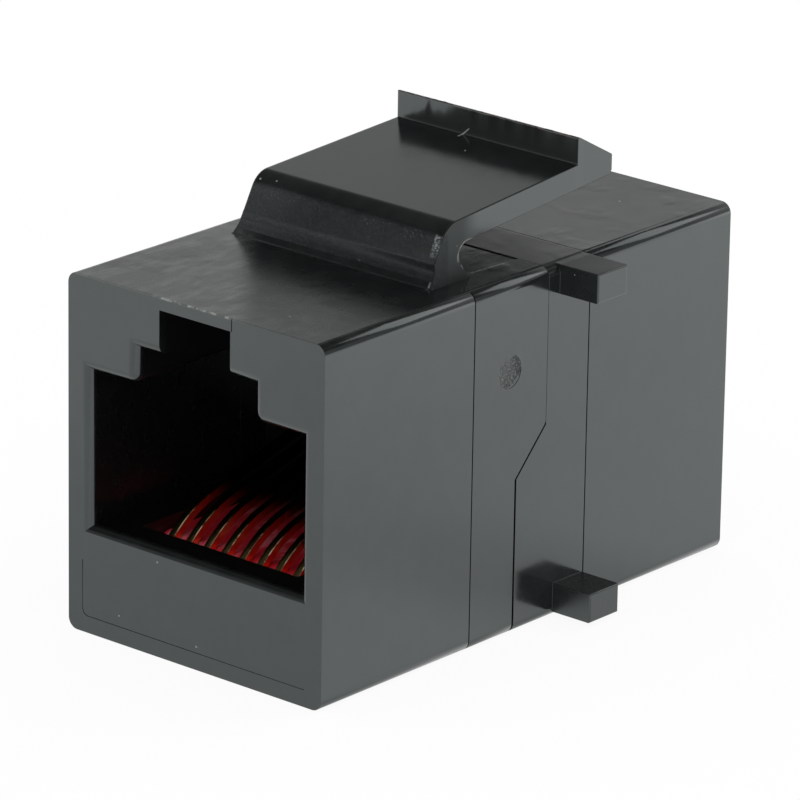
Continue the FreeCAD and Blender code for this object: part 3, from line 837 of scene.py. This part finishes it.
def light_world():
    """Even light on the object. Gloss sees a bright horizon that darkens overhead."""
    world = bpy.data.worlds.new("studio")
    bpy.context.scene.world = world
    world.use_nodes = True
    world.cycles.sampling_method = "NONE"
    shade = Shade(world.node_tree)
    axis = shade.parts(shade.add("ShaderNodeTexCoord").outputs["Generated"])
    behind = shade.times(shade.plus(axis[0], axis[1]), math.sqrt(0.5))
    glow = shade.times(
        shade.remap(axis[2], *(math.sin(height) for height in HORIZON_FADE), *HORIZON_GLOW),
        shade.remap(behind, *BEHIND_FADE, 1.0, BEHIND_GLOW),
        shade.remap(behind, *BEFORE_FADE, BEFORE_GLOW, 1.0),
    )
    gloss = shade.add("ShaderNodeLightPath").outputs["Is Glossy Ray"]
    background = shade.add("ShaderNodeBackground", {
        "Color": colour((1, 1, 1)),
        "Strength": shade.plus(shade.times(gloss, shade.math("SUBTRACT", glow, 1.0)), 1.0),
    })
    shade.finish(background.outputs[0], "ShaderNodeOutputWorld")


def hang_softbox():
    """A square lamp behind the object, which the rounded top edges mirror as a bright line."""
    data = bpy.data.lights.new("softbox", "AREA")
    data.shape = "SQUARE"
    data.size = SOFTBOX_SIZE * MM
    data.energy = SOFTBOX_POWER
    lamp = bpy.data.objects.new("softbox", data)
    towards = Vector(SOFTBOX_TOWARDS).normalized()
    lamp.location = towards * SOFTBOX_DISTANCE * MM
    lamp.rotation_euler = towards.to_track_quat("Z", "Y").to_euler()
    bpy.context.scene.collection.objects.link(lamp)


def floor_paper():
    """White paper, a little brighter away from the object in what the gloss sees: painted shade near the
    object, painted light further off.
    """
    material, shade = new_material("floor_paper")
    point, axis = shade.place()
    away = shade.add("ShaderNodeVectorMath", {0: point}, operation="LENGTH").outputs["Value"]
    behind = shade.times(shade.plus(axis[0], axis[1]), math.sqrt(0.5))
    beside = shade.times(
        shade.remap(axis[0], *FLOOR_RIGHT),
        shade.remap(axis[0], *FLOOR_RIGHT_START),
        shade.math("SUBTRACT", 1.0, shade.within(axis[1], *FLOOR_RIGHT_GAP)),
    )
    bright = shade.plus(
        shade.remap(away, *FLOOR_AWAY),
        shade.remap(behind, *FLOOR_BEHIND),
        shade.remap(axis[0], *FLOOR_LEFT),
        beside,
    )
    path = shade.add("ShaderNodeLightPath").outputs
    extra = shade.times(path["Is Glossy Ray"], shade.math("SUBTRACT", bright, 1.0))
    paper = shade.add("ShaderNodeBsdfDiffuse", {"Color": colour(PAPER)})
    glow = shade.add("ShaderNodeEmission", {"Color": colour((1, 1, 1)), "Strength": shade.plus(extra, 1.0)})
    seen = shade.math("MAXIMUM", path["Is Camera Ray"], path["Is Glossy Ray"])
    both = shade.add("ShaderNodeMixShader", {
        0: shade.times(seen, PAPER_GLOW_SHARE),
        1: paper.outputs[0],
        2: glow.outputs[0],
    })
    shade.finish(both.outputs[0])
    material.cycles.emission_sampling = "NONE"
    return material


def build_floor():
    half = FLOOR_HALF * MM
    mesh = bpy.data.meshes.new("floor")
    corners = [(-half, -half, 0), (half, -half, 0), (half, half, 0), (-half, half, 0)]
    mesh.from_pydata(corners, [], [(0, 1, 2, 3)])
    floor = bpy.data.objects.new("floor", mesh)
    bpy.context.scene.collection.objects.link(floor)
    set_material(floor, floor_paper())


def place_camera():
    back = Vector((
        math.sin(BEARING) * math.cos(ELEVATION),
        -math.cos(BEARING) * math.cos(ELEVATION),
        math.sin(ELEVATION),
    ))
    level = Vector((math.cos(BEARING), math.sin(BEARING), 0))
    upright = back.cross(level)
    right = math.cos(ROLL) * level + math.sin(ROLL) * upright
    up = math.cos(ROLL) * upright - math.sin(ROLL) * level
    data = bpy.data.cameras.new("camera")
    data.sensor_width = SENSOR
    data.sensor_fit = "HORIZONTAL"
    data.lens = LENS
    data.clip_start, data.clip_end = CLIP_METRES
    camera = bpy.data.objects.new("camera", data)
    place = (AIM + back * DISTANCE + right * SLIDE[0] + up * SLIDE[1]) * MM
    matrix = camera.matrix_world.copy()
    for row in range(3):
        matrix[row][0] = right[row]
        matrix[row][1] = up[row]
        matrix[row][2] = back[row]
        matrix[row][3] = place[row]
    camera.matrix_world = matrix
    bpy.context.scene.collection.objects.link(camera)
    bpy.context.scene.camera = camera


bpy.context.scene.view_settings.view_transform = "Standard"
light_world()
hang_softbox()
build_floor()
place_camera()
dress_solids()
build_arm()
